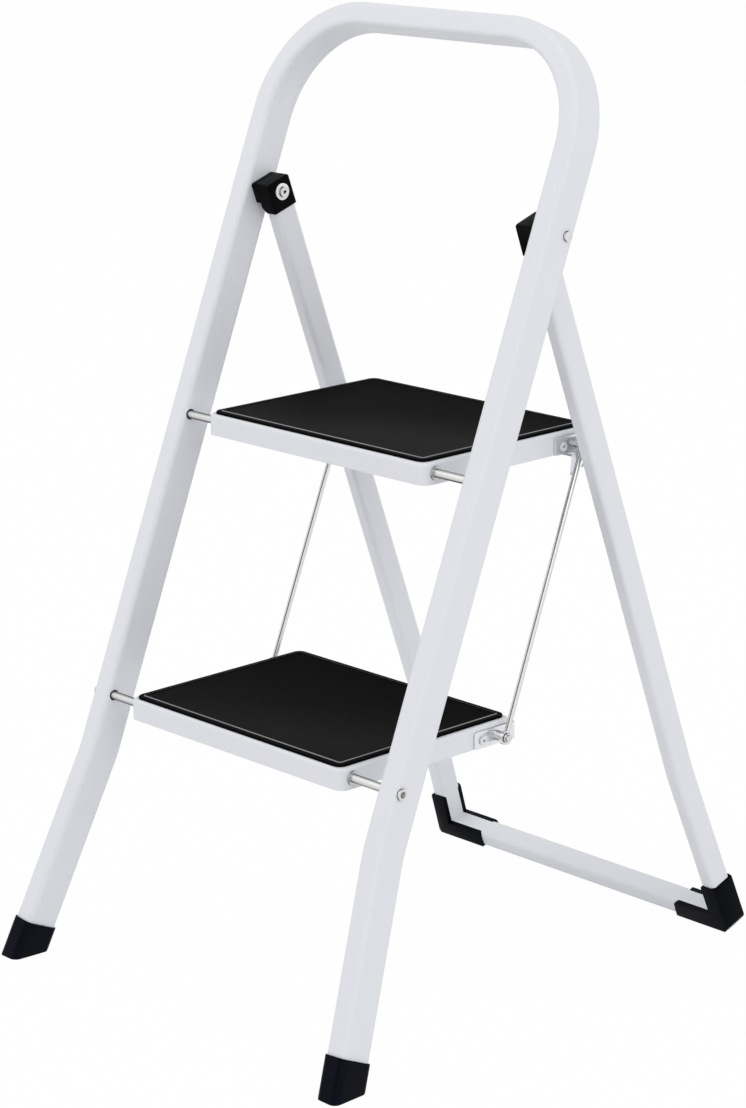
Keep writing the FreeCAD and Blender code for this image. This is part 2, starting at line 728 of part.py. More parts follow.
def main():
    os.makedirs("parts", exist_ok=True)
    pieces = make_pieces()
    box = Part.makeCompound(list(pieces.values())).optimalBoundingBox(False)
    centre = Vector(0, -(box.YMin + box.YMax) / 2, 0)
    for name, shape in pieces.items():
        shape.translate(centre)
        shape.exportStep("parts/" + name + ".step")
    print("size %.1f x %.1f x %.1f mm" % (box.XLength, box.YLength, box.ZLength))
    joints = {"pivot": pivot, "upper rod": upper_rod, "lower rod": lower_rod,
              "upper link pin": on_tread(upper_rod, link_reach, -link_drop)}
    for name, place in joints.items():
        place = place + centre
        print("%s y %.4f z %.4f" % (name, place.y, place.z))


main()
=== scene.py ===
# Finishes, fasteners and studio for a folding two-step stool with a tall grip hoop.
# The tubes, treads and joints come packed and stay as they are; small pieces get finer copies.
import json
import math

import bmesh
import bpy
from mathutils import Matrix, Vector

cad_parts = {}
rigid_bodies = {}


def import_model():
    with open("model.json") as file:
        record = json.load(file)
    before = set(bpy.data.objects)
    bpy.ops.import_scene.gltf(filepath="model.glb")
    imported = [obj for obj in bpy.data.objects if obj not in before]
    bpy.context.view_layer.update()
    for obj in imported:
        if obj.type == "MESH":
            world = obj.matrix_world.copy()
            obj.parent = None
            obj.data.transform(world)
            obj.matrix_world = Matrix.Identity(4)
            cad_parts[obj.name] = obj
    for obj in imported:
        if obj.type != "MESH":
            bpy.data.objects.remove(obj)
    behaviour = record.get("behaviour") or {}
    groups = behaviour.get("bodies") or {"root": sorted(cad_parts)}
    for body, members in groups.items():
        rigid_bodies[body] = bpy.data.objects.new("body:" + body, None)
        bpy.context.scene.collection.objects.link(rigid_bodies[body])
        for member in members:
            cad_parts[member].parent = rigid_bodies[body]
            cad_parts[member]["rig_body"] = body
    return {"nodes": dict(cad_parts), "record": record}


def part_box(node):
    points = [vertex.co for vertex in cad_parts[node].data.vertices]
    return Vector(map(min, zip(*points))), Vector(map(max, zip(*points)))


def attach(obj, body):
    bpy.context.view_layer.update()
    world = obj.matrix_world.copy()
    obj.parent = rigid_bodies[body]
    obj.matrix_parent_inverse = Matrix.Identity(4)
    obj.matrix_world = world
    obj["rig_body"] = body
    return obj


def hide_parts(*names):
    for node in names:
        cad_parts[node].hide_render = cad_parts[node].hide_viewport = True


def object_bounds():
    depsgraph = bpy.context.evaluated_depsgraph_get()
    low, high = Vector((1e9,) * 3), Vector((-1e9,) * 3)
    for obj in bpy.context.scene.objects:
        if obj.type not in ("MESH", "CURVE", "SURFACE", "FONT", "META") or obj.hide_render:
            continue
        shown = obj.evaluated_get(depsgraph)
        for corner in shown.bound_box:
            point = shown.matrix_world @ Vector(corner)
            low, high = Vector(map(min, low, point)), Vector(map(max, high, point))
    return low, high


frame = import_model()
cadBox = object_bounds()
solids = frame["nodes"]


class Wire:  # one output of a node tree, which can be added, multiplied and so on
    def __init__(self, board, socket):
        self.board = board
        self.socket = socket

    def __add__(self, other):
        return self.board.reckon("ADD", self, other)

    def __radd__(self, other):
        return self.board.reckon("ADD", other, self)

    def __sub__(self, other):
        return self.board.reckon("SUBTRACT", self, other)

    def __rsub__(self, other):
        return self.board.reckon("SUBTRACT", other, self)

    def __mul__(self, other):
        return self.board.reckon("MULTIPLY", self, other)

    def __rmul__(self, other):
        return self.board.reckon("MULTIPLY", other, self)

    def __pow__(self, other):
        return self.board.reckon("POWER", self, other)

    def __rpow__(self, other):
        return self.board.reckon("POWER", other, self)


class Board:  # puts nodes into a material, world or geometry tree
    def __init__(self, tree):
        self.tree = tree

    def put(self, kind, settings=None, sockets=None, output=0):  # one output, or a tuple of them
        node = self.tree.nodes.new(kind)
        for name, value in (settings or {}).items():
            setattr(node, name, value)
        for name, value in (sockets or {}).items():
            self.feed(node.inputs[name], value)
        if isinstance(output, tuple):
            return [Wire(self, node.outputs[name]) for name in output]
        return Wire(self, node.outputs[output]) if node.outputs else None

    def feed(self, socket, value):
        if isinstance(value, Wire):
            self.tree.links.new(value.socket, socket)
        else:
            socket.default_value = value

    def reckon(self, operation, *values):
        return self.put("ShaderNodeMath", {"operation": operation}, dict(enumerate(values)))


def rgba(colour):
    return colour if isinstance(colour, Wire) else (*colour, 1.0)


def startFinish(name):
    material = bpy.data.materials.new(name)
    material.use_nodes = True
    return material, Board(material.node_tree)


def endFinish(material, board, sockets):  # feeds the surface its links and plain numbers
    surface = material.node_tree.nodes["Principled BSDF"]
    for name, value in sockets.items():
        board.feed(surface.inputs[name], value)
    return material


def place(board):
    return board.put("ShaderNodeTexCoord", output="Object")


def noise(board, where, size, detail=2.0, roughness=0.5):
    sockets = {"Vector": where, "Scale": size, "Detail": detail, "Roughness": roughness}
    return board.put("ShaderNodeTexNoise", {}, sockets)


def stretched(board, turn, scale):  # coordinates turned, then drawn out along one axis
    turned = board.put("ShaderNodeMapping", {}, {"Vector": place(board), "Rotation": turn})
    return board.put("ShaderNodeMapping", {}, {"Vector": turned, "Scale": scale})


def blendColours(board, amount, first, second):
    sockets = {0: amount, 6: rgba(first), 7: rgba(second)}
    return board.put("ShaderNodeMix", {"data_type": "RGBA"}, sockets, 2)


def ramped(board, value, start, end, top=1.0, kind="SMOOTHSTEP"):  # 0 at start, top at end
    limits = {"Value": value, "From Min": start, "From Max": end, "To Max": top}
    return board.put("ShaderNodeMapRange", {"interpolation_type": kind}, limits)


def bumped(board, height, strength, depth):
    sockets = {"Height": height, "Strength": strength, "Distance": depth}
    return board.put("ShaderNodeBump", {}, sockets)


powderCoat = {
    "frames": [(0.730, 0.745, 0.778), (0.696, 0.714, 0.758)],   # full coat, then where thinner
    "washers": [(0.950, 0.950, 0.950), (0.910, 0.910, 0.910)],
    "roughness": 0.40,
    "thinRoughness": 0.08,               # added where the coat is thinner
    "peelPerMetre": 620.0,
    "peelRoughness": 0.05,
    "peelStrength": 0.35,
    "peelDepth": 0.00005,
    "cloudPerMetre": 7.0,
    "gloss": 0.05,
    "glossRoughness": 0.25,
}


def makePowderCoat(name, full, thin):  # white paint baked on steel, with a faint orange peel
    material, board = startFinish(name)
    where = place(board)
    peel = noise(board, where, powderCoat["peelPerMetre"], detail=1.5)
    cloud = noise(board, where, powderCoat["cloudPerMetre"], detail=3.0, roughness=0.6)
    rough = powderCoat["roughness"] + cloud * powderCoat["thinRoughness"]
    return endFinish(material, board, {
        "Base Color": blendColours(board, cloud, full, thin),
        "Roughness": rough + peel * powderCoat["peelRoughness"],
        "Normal": bumped(board, peel, powderCoat["peelStrength"], powderCoat["peelDepth"]),
        "Coat Weight": powderCoat["gloss"],
        "Coat Roughness": powderCoat["glossRoughness"],
    })


platedSteel = {
    "colour": (0.80, 0.80, 0.79),
    "edge": (0.045, 0.048, 0.052),       # painted reflection: the dark a rounded side mirrors of a dim room, painted into the colour
    "edgeStart": 0.26,
    "edgeEnd": 0.80,
    "roughness": 0.24,
    "wornRoughness": 0.22,
    "dulling": 0.84,                     # share of the colour left where it is worn
    "lineShare": 0.4,                    # of the wear that follows the drawing lines
    "patchShare": 0.6,
    "patchesPerMetre": 60.0,
    "linesPerMetre": 2600.0,             # across the lines
    "linesAlong": 14.0,
    "lineStrength": 0.2,
    "lineDepth": 0.00002,
}


def makePlated(name, turn=(0.0, 0.0, 0.0), along=0, **changes):  # on wire, bar or sheet, darkened toward its outline by a painted reflection
    material, board = startFinish(name)
    looks = {**platedSteel, **changes}
    dull = [channel * looks["dulling"] for channel in looks["colour"]]
    scale = [looks["linesPerMetre"]] * 3
    scale[along] = looks["linesAlong"]
    lines = noise(board, stretched(board, turn, scale), 1.0, roughness=0.6)
    patches = noise(board, place(board), looks["patchesPerMetre"], detail=3.0, roughness=0.6)
    worn = lines * looks["lineShare"] + patches * looks["patchShare"]
    facing = board.put("ShaderNodeLayerWeight", {}, {"Blend": 0.5}, "Facing")
    # painted reflection: the colour turns dark toward the outline, where the surface turns away
    # from the view
    side = ramped(board, facing, looks["edgeStart"], looks["edgeEnd"])
    tint = blendColours(board, worn, looks["colour"], dull)
    return endFinish(material, board, {
        "Base Color": blendColours(board, side, tint, looks["edge"]),
        "Roughness": looks["roughness"] + worn * looks["wornRoughness"],
        "Normal": bumped(board, lines, looks["lineStrength"], looks["lineDepth"]),
        "Metallic": 1.0,
    })


blackPlastic = {
    "cap": [(0.0008, 0.0009, 0.0014), (0.0022, 0.0026, 0.0034)],   # plain, then scuffed
    "floorPiece": [(0.0008, 0.0012, 0.0034), (0.0024, 0.0030, 0.0058)],
    "foot": [(0.0034, 0.0038, 0.0082), (0.0056, 0.0062, 0.0110)],
    "roughness": 0.32,
    "specular": 0.035,
    "scuffsPerMetre": 45.0,
    "scuffRange": (0.55, 0.8),           # of the noise, where scuffs begin and are full
    "scuffRoughness": 0.1,
    "grainPerMetre": 1500.0,
    "grainRoughness": 0.12,
    "grainStrength": 0.5,
    "grainDepth": 0.00006,
}


def makeBlackPlastic(name, plain, scuffed):  # moulded polypropylene with a fine grain
    material, board = startFinish(name)
    where = place(board)
    grain = noise(board, where, blackPlastic["grainPerMetre"], roughness=0.6)
    scuffs = noise(board, where, blackPlastic["scuffsPerMetre"], detail=4.0, roughness=0.7)
    rubbed = ramped(board, scuffs, *blackPlastic["scuffRange"], kind="LINEAR")
    rough = blackPlastic["roughness"] + grain * blackPlastic["grainRoughness"]
    return endFinish(material, board, {
        "Base Color": blendColours(board, rubbed, plain, scuffed),
        "Roughness": rough + rubbed * blackPlastic["scuffRoughness"],
        "Normal": bumped(board, grain, blackPlastic["grainStrength"], blackPlastic["grainDepth"]),
        "Specular IOR Level": blackPlastic["specular"],
    })


treadRubber = {
    "colour": (0.0012, 0.0010, 0.0012),
    "dusty": (0.0034, 0.0030, 0.0032),
    "dustPerMetre": 22.0,
    "dustRoughness": 0.12,
    "bead": (0.340, 0.340, 0.350),       # painted highlight: a lighter colour on the bead, standing in for the light its outer slope catches
    "beadHighlightShare": 0.7,                   # share of the painted highlight over the whole bead
    "beadHighlightDustShare": 0.3,                    # share of it added only where the dust noise is high
    "roughness": 0.58,
    "specular": 0.022,
    "pebblesPerMetre": 420.0,
    "pebbleHeight": -1.0,                # each pebble is highest at its middle
    "grainPerMetre": 1900.0,
    "grainHeight": 0.25,
    "grainRoughness": 0.06,
    "reliefStrength": 0.45,
    "reliefDepth": 0.00018,
}


def makeTreadRubber():  # vinyl mat with a finer grain over a pebbled skin, and a painted highlight along its bead
    material, board = startFinish("treadRubber")
    where = place(board)
    sockets = {"Vector": where, "Scale": treadRubber["pebblesPerMetre"]}
    pebble = board.put("ShaderNodeTexVoronoi", {"feature": "SMOOTH_F1"}, sockets)
    grain = noise(board, where, treadRubber["grainPerMetre"], roughness=0.6)
    dust = noise(board, where, treadRubber["dustPerMetre"], detail=4.0, roughness=0.65)
    bead = board.put("ShaderNodeAttribute", {"attribute_name": "bead"}, {}, "Fac")
    # painted highlight: how much of the lighter bead colour shows, partly steered by the dust noise
    rubbed = bead * (treadRubber["beadHighlightShare"] + dust * treadRubber["beadHighlightDustShare"])
    plain = blendColours(board, dust, treadRubber["colour"], treadRubber["dusty"])
    rough = treadRubber["roughness"] + dust * treadRubber["dustRoughness"]
    skin = pebble * treadRubber["pebbleHeight"] + grain * treadRubber["grainHeight"]
    return endFinish(material, board, {
        "Base Color": blendColours(board, rubbed, plain, treadRubber["bead"]),
        "Roughness": rough + grain * treadRubber["grainRoughness"],
        "Normal": bumped(board, skin, treadRubber["reliefStrength"], treadRubber["reliefDepth"]),
        "Specular IOR Level": treadRubber["specular"],
    })


def frontLean():  # the front legs' angle back from upright, from the rods they carry
    low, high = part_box("lower_step_rod"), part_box("upper_step_rod")
    rise = (high[0] + high[1] - low[0] - low[1]) / 2
    return math.atan2(rise.y, rise.z)


paint = makePowderCoat("framePaint", *powderCoat["frames"])
washerPaint = makePowderCoat("washerPaint", *powderCoat["washers"])
rodZinc = makePlated("rodZinc")
fineDrawn = {"edgeStart": 0.5, "linesPerMetre": 500.0, "roughness": 0.08}
linkZinc = makePlated("linkZinc", turn=(frontLean(), 0.0, 0.0), along=2, **fineDrawn)
plateZinc = makePlated("plateZinc", along=1, colour=(0.84, 0.86, 0.91), edgeStart=0.6)
nutSteel = makePlated("nutSteel", colour=(0.90, 0.90, 0.90), edgeStart=0.22, edgeEnd=0.7)
boltSteel = makePlated("boltSteel", colour=(0.95, 0.95, 0.95), edgeStart=0.10, edgeEnd=0.6)
# painted shade: a copy of the plated steel darkened to stand in for the dark that the domed rod
# heads mirror
paintedShadeSteel = makePlated("paintedShadeSteel", colour=(0.30, 0.30, 0.31), edgeStart=0.1)
plastic = makeBlackPlastic("capPlastic", *blackPlastic["cap"])
coverPlastic = makeBlackPlastic("coverPlastic", *blackPlastic["floorPiece"])
footPlastic = makeBlackPlastic("footPlastic", *blackPlastic["foot"])
rubber = makeTreadRubber()
print("finishes: made")

finishOf = {
    "white_powder_coat": paint,
    "zinc_plated_steel": rodZinc,
    "bright_steel": paintedShadeSteel,
    "black_plastic": plastic,
    "black_tread_rubber": rubber,
}
ownFinish = {                            # solids that differ from the rest of their slot
    "pivot_washers": washerPaint,
    "pivot_bolts": boltSteel,
    "pivot_nuts": nutSteel,
    "upper_rod_retainers": boltSteel,
    "lower_rod_retainers": boltSteel,
}
for side in ("right", "left"):
    ownFinish[side + "_front_foot"] = footPlastic
    ownFinish[side + "_rear_corner_cover"] = coverPlastic
    ownFinish[side + "_link_rod"] = linkZinc
    ownFinish["upper_" + side + "_hook_plate"] = plateZinc
    ownFinish["lower_" + side + "_link_plate"] = plateZinc

slotOf = {piece["node"]: piece["material_slot"] for piece in frame["record"]["subparts"]}
for node, slotName in slotOf.items():
    solids[node].material_slots[0].material = ownFinish.get(node, finishOf[slotName])
print("solids: dressed")


def addObject(name, data):
    made = bpy.data.objects.new(name, data)
    bpy.context.scene.collection.objects.link(made)
    return made


def settle(piece, body, slotName, *nodes):  # ties a piece to its body, in place of the solids
    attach(piece, body)
    if nodes:
        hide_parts(*nodes)


def bakeModifiers(piece):  # keeps the modifiers' result as the piece's own mesh
    graph = bpy.context.evaluated_depsgraph_get()
    made = bpy.data.meshes.new_from_object(piece.evaluated_get(graph), depsgraph=graph)
    piece.modifiers.clear()
    piece.data = made


def shadeByAngle(mesh, degrees=32.0):
    mesh.shade_smooth()
    mesh.set_sharp_from_angle(angle=math.radians(degrees))


footRim = {
    "lower": 0.0059,                     # under the solid's own rim, at the front
    "outward": 0.09,                     # rise of the rim across the leg, and along it
    "back": -0.45,
}


def lowerRim(shape, node):  # trims the cup of a foot square to its splayed leg, and closes it
    peak = max((vertex.co for vertex in shape.verts), key=lambda spot: spot.z)
    low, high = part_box(node)
    side = 1 if low.x > 0 else -1
    through = Vector(((low.x + high.x) / 2, peak.y, peak.z - footRim["lower"]))
    up = Vector((-side * footRim["outward"], -footRim["back"], 1.0)).normalized()
    parts = [*shape.verts, *shape.edges, *shape.faces]
    cut = bmesh.ops.bisect_plane(shape, geom=parts, plane_co=through, plane_no=up, clear_outer=True)
    rim = [part for part in cut["geom_cut"] if isinstance(part, bmesh.types.BMEdge)]
    bmesh.ops.triangle_fill(shape, edges=rim, use_beauty=True, use_dissolve=True)


capShoulder = {
    "was": 0.0090,                       # radius of the solid's shoulder, at the front of the top
    "becomes": 0.0026,
    "offArc": 0.00008,                   # how far from that arc a point of it may be
    "pastEnds": 0.0001,
    "sideways": 0.01,                    # how far the cap's own front may lean to a side
}


def tightenShoulder(shape):  # draws the shoulder of a leg cap out to a tighter round
    flats = [face for face in shape.faces if abs(face.normal.x) < capShoulder["sideways"]]
    front = max(flats, key=lambda face: face.calc_area() * -face.normal.y)
    back = -front.normal
    up = Vector((0.0, -back.z, back.y))
    edge = min(vertex.co.dot(back) for vertex in shape.verts)
    top = max(vertex.co.dot(up) for vertex in shape.verts)
    was, becomes, slack = capShoulder["was"], capShoulder["becomes"], capShoulder["pastEnds"]
    for vertex in shape.verts:
        away = vertex.co.dot(back) - edge - was
        above = vertex.co.dot(up) - top + was
        offArc = abs(math.hypot(away, above) - was)
        if offArc < capShoulder["offArc"] and away < slack and above > -slack:
            forward = (was - becomes) * (1 + away / was)
            raised = (was - becomes) * (1 - above / was)
            vertex.co += up * raised - back * forward


softEdges = {
    "widths": {
        "front_foot": 0.0011,
        "rear_leg_cap": 0.0006,
        "rear_corner_cover": 0.0008,
        "hook_plate": 0.00025,
        "link_plate": 0.00025,
    },
    "segments": 3,
    "angle": 28.0,
    "merge": 0.00001,                    # corners closer than this become one
    "flat": 1.0,                         # degrees under which two faces become one
}


def softenEdges(node, width):  # moulded and sheared edges are never knife sharp
    mesh = solids[node].data.copy()
    shape = bmesh.new()
    shape.from_mesh(mesh)
    bmesh.ops.remove_doubles(shape, verts=shape.verts, dist=softEdges["merge"])
    flat = math.radians(softEdges["flat"])
    bmesh.ops.dissolve_limit(shape, angle_limit=flat, verts=shape.verts, edges=shape.edges)
    if node.endswith("front_foot"):
        lowerRim(shape, node)
    if node.endswith("rear_leg_cap"):
        tightenShoulder(shape)
    bmesh.ops.recalc_face_normals(shape, faces=shape.faces)
    shape.to_mesh(mesh)
    shape.free()
    piece = addObject(node + "Soft", mesh)
    bevel = piece.modifiers.new("edges", "BEVEL")
    bevel.width = width
    bevel.segments = softEdges["segments"]
    bevel.limit_method = "ANGLE"
    bevel.angle_limit = math.radians(softEdges["angle"])
    bevel.use_clamp_overlap = True
    bakeModifiers(piece)
    shadeByAngle(piece.data)
    settle(piece, solids[node]["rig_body"], slotOf[node], node)


for node in sorted(solids):
    for ending, width in softEdges["widths"].items():
        if node.endswith(ending):
            softenEdges(node, width)
print("edges: softened")


def treadTilt():  # slope of the treads about X, from the largest upward face of a mat
    faces = solids["upper_step_mat"].data.polygons
    top = max(faces, key=lambda face: face.area * face.normal.z)
    return math.atan2(-top.normal.y, top.normal.z)


treadTurn = Matrix.Rotation(treadTilt(), 4, "X")


def treadBox(node):  # lowest and highest corner of a tread's solid, measured square to the tread
    level = treadTurn.inverted()
    points = [level @ vertex.co for vertex in solids[node].data.vertices]
    low = Vector([min(point[axis] for point in points) for axis in range(3)])
    high = Vector([max(point[axis] for point in points) for axis in range(3)])
    return low, high


mat = {
    "corner": 0.008,
    "smallestCorner": 0.001,
    "cornerSteps": 8,
    "sheet": 0.0025,
    # how far in from the rim, and how high over the sheet's top, across the rim and the bead
    "profile": [(0.0, -0.0025), (0.0, -0.0007), (0.0002, -0.0003), (0.0006, 0.0), (0.0050, 0.0),
                (0.0051, 0.0001), (0.0057, 0.0006), (0.0060, 0.0006), (0.0068, 0.0004),
                (0.0074, 0.0)],
    "rubbed": (5, 6),                    # the profile's points on the outer slope of the bead, which get the painted highlight
}


def roundedRing(halfWidth, halfLength, radius, steps):
    ring = []
    for x, y, start in ((1, 1, 0), (-1, 1, 90), (-1, -1, 180), (1, -1, 270)):
        for step in range(steps + 1):
            angle = math.radians(start + 90 * step / steps)
            across = x * (halfWidth - radius) + radius * math.cos(angle)
            ring.append((across, y * (halfLength - radius) + radius * math.sin(angle)))
    return ring


def makeMat(name, node, body):  # one moulded sheet with a raised line inside its rim
    low, high = treadBox(node)
    middle = (low + high) / 2
    half = (high - low) / 2
    shape = bmesh.new()
    rings = []
    for inset, height in mat["profile"]:
        radius = max(mat["corner"] - inset, mat["smallestCorner"])
        outline = roundedRing(half.x - inset, half.y - inset, radius, mat["cornerSteps"])
        level = low.z + mat["sheet"] + height
        spots = [treadTurn @ Vector((middle.x + x, middle.y + y, level)) for x, y in outline]
        rings.append([shape.verts.new(spot) for spot in spots])
    for outer, inner in zip(rings, rings[1:]):
        for i in range(len(outer)):
            j = (i + 1) % len(outer)
            shape.faces.new((outer[i], outer[j], inner[j], inner[i]))
    shape.faces.new(rings[-1])
    shape.faces.new(reversed(rings[0]))
    mesh = bpy.data.meshes.new(name)
    shape.to_mesh(mesh)
    shape.free()
    shadeByAngle(mesh)
    # marks the bead's outer slope for the painted highlight
    raised = mesh.attributes.new("bead", "FLOAT", "POINT")
    for i, item in enumerate(raised.data):
        item.value = float(i // len(rings[0]) in mat["rubbed"])
    mesh.materials.append(rubber)
    settle(addObject(name, mesh), body, slotOf[node], node)


makeMat("upperMat", "upper_step_mat", "upper_step")
makeMat("lowerMat", "lower_step_mat", "lower_step")
print("mats: two")


def newTree(name, inputs):  # geometry node tree with a geometry in and out, and named inputs
    tree = bpy.data.node_groups.new(name, "GeometryNodeTree")
    inputs = {"Geometry": "NodeSocketGeometry", **inputs}
    for label, kind in inputs.items():
        tree.interface.new_socket(label, in_out="INPUT", socket_type=kind)
    tree.interface.new_socket("Geometry", in_out="OUTPUT", socket_type="NodeSocketGeometry")
    board = Board(tree)
    given = dict(zip(inputs, board.put("NodeGroupInput", output=tuple(inputs))))
    return tree, board, given


def carried(board, name, kind="FLOAT"):  # what a point or a face brings along under a name
    return board.put("GeometryNodeInputNamedAttribute", {"data_type": kind}, {"Name": name})


def copyOnto(board, points, shape, turn, size):  # a smooth copy of the shape on every point
    sockets = {"Points": points, "Instance": shape, "Rotation": turn, "Scale": size}
    copies = board.put("GeometryNodeInstanceOnPoints", {}, sockets)
    real = board.put("GeometryNodeRealizeInstances", {}, {"Geometry": copies})
    return board.put("GeometryNodeSetShadeSmooth", {}, {"Geometry": real})


dome = {
    "segments": 28,
    "rings": 16,
    "fullness": 0.55,                    # power of the ball's height, under 1 for a fuller dome
    "dimpleFall": -14.0,                 # how fast the dimple in its middle dies away
    "over": 0.0003,                      # how far a dome stands past the plain head under it
    "wider": 0.0001,
}


def domedHeads():  # a round head on every point, sized by the point's own radius and rise, with a painted shade: a dark finish on the faces round its middle
    numbers = {"Dimple": "NodeSocketFloat", "PaintedBoreRadius": "NodeSocketFloat"}
    finishes = {"Finish": "NodeSocketMaterial", "Inside": "NodeSocketMaterial"}
    tree, board, given = newTree("domedHeads", {**numbers, **finishes})
    sockets = {"Segments": dome["segments"], "Rings": dome["rings"], "Radius": 1.0}
    ball = board.put("GeometryNodeMeshUVSphere", {}, sockets)
    spot = board.put("GeometryNodeInputPosition")
    x, y, z = board.put("ShaderNodeSeparateXYZ", {}, {"Vector": spot}, ("X", "Y", "Z"))
    out = board.reckon("MAXIMUM", x, 0.0) ** dome["fullness"]
    spread = y * y + z * z
    hollow = given["Dimple"] * math.e ** (spread * dome["dimpleFall"])
    shaped = board.put("ShaderNodeCombineXYZ", {}, {"X": out - hollow * out, "Y": y, "Z": z})
    # painted shade: faces near the middle are marked for a dark finish, standing in for the shade
    # in the hollow
    inPaintedBore = board.reckon("LESS_THAN", spread, given["PaintedBoreRadius"] * given["PaintedBoreRadius"])
    settings = {"data_type": "BOOLEAN", "domain": "FACE"}
    sockets = {"Geometry": ball, "Name": "inPaintedBore", "Value": inPaintedBore}
    marked = board.put("GeometryNodeStoreNamedAttribute", settings, sockets)
    head = board.put("GeometryNodeSetPosition", {}, {"Geometry": marked, "Position": shaped})
    rise, radius = carried(board, "headRise"), carried(board, "headRadius")
    size = board.put("ShaderNodeCombineXYZ", {}, {"X": rise, "Y": radius, "Z": radius})
    turn = carried(board, "headTurn", "FLOAT_VECTOR")
    heads = copyOnto(board, given["Geometry"], head, turn, size)
    sockets = {"Geometry": heads, "Material": given["Finish"]}
    painted = board.put("GeometryNodeSetMaterial", {}, sockets)
    bore = carried(board, "inPaintedBore", "BOOLEAN")
    sockets = {"Geometry": painted, "Selection": bore, "Material": given["Inside"]}
    bored = board.put("GeometryNodeSetMaterial", {}, sockets)
    board.put("NodeGroupOutput", {}, {"Geometry": bored})
    return tree


def pointCloud(name, points, numbers):  # loose points that carry named numbers and turns
    mesh = bpy.data.meshes.new(name)
    mesh.from_pydata(points, [], [])
    for label, values in numbers.items():
        vector = hasattr(values[0], "__len__")
        layer = mesh.attributes.new(label, "FLOAT_VECTOR" if vector else "FLOAT", "POINT")
        for item, value in zip(layer.data, values):
            setattr(item, "vector" if vector else "value", value)
    return mesh


def grow(name, mesh, tree, inputs, body, slotName):  # runs a geometry tree once, keeps its mesh
    piece = addObject(name, mesh)
    modifier = piece.modifiers.new(name, "NODES")
    modifier.node_group = tree
    for item in tree.interface.items_tree:
        if item.in_out == "INPUT" and item.name in inputs:
            modifier[item.identifier] = inputs[item.name]
    bakeModifiers(piece)
    settle(piece, body, slotName)


heads = domedHeads()
outward = {1: (0.0, 0.0, 0.0), -1: (0.0, 0.0, math.pi)}


def growHeads(name, points, turns, sizes, looks, body, slotName):  # one head on all points
    radius, rise = sizes
    count = len(points)
    numbers = {"headRadius": [radius] * count, "headRise": [rise] * count, "headTurn": turns}
    inputs = dict(zip(("Dimple", "PaintedBoreRadius", "Finish", "Inside"), looks))
    grow(name, pointCloud(name, points, numbers), heads, inputs, body, slotName)


headsOf = {                              # solid, radius, rise, dimple, share of the head painted dark as shade in its bore, finish
    "front_frame": [("lower_step_rod", 0.0052, 0.0022, 0.5, 0.0, paintedShadeSteel),
                    ("pivot_nuts", 0.0046, 0.0026, 0.2, 0.0, nutSteel)],
    "upper_step": [("upper_plate_rivets", 0.0042, 0.0016, 1.0, 0.40, paint),
                   ("upper_link_pins", 0.0030, 0.0010, 0.6, 0.0, rodZinc)],
    "lower_step": [("lower_plate_rivets", 0.0042, 0.0016, 1.0, 0.40, paint),
                   ("lower_link_pins", 0.0030, 0.0010, 0.6, 0.0, rodZinc)],
}


def makeHeads(body, node, radius, rise, dimple, bore, finish):  # on both outer ends of a solid
    low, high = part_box(node)
    middle = (low + high) / 2
    starts = {1: high.x - rise, -1: low.x + rise}
    points = [(starts[side], middle.y, middle.z) for side in starts]
    turns = [outward[side] for side in starts]
    sizes = radius + dome["wider"], rise + dome["over"]
    # the black plastic paints the shade in each bore
    looks = dimple, bore, finish, plastic
    growHeads(node + "Heads", points, turns, sizes, looks, body, slotOf[node])


for body, rows in headsOf.items():
    for row in rows:
        makeHeads(body, *row)
print("heads:", sum(len(rows) for rows in headsOf.values()) * 2)

spotWeld = {
    "radius": 0.0028,
    "rise": 0.0007,
    "dimple": 0.8,
    "perRow": 7,
    "rowInset": 0.006,                   # from the edge of the channel's flange
    "endInset": 0.022,
    "flange": 0.0012,                    # the sheet that the dimples stand under
}


def makeSpotWelds(name, channel, body):  # two rows of dimples that hold the channel to the tread
    low, high = treadBox(channel)
    first, last = low.x + spotWeld["endInset"], high.x - spotWeld["endInset"]
    points = []
    for y in (low.y + spotWeld["rowInset"], high.y - spotWeld["rowInset"]):
        for i in range(spotWeld["perRow"]):
            share = i / (spotWeld["perRow"] - 1)
            x = first * (1 - share) + last * share
            points.append(treadTurn @ Vector((x, y, high.z - spotWeld["flange"])))
    turns = [(0.0, math.pi / 2, 0.0)] * len(points)   # downward
    sizes = spotWeld["radius"], spotWeld["rise"]
    looks = spotWeld["dimple"], 0.0, paint, paint
    growHeads(name, points, turns, sizes, looks, body, "white_powder_coat")


makeSpotWelds("upperSpotWelds", "upper_step_channel", "upper_step")
makeSpotWelds("lowerSpotWelds", "lower_step_channel", "lower_step")

weldBead = {
    "stepsAround": 72,
    "sides": 8,
    "thick": 0.30,                       # share of the ring's radius
    "ripples": 14.0,
    "rippleHeight": 0.16,
    "over": 0.0004,                      # the ring's radius past the rod's
    "inset": 0.0008,                     # from the ends of the rod
}


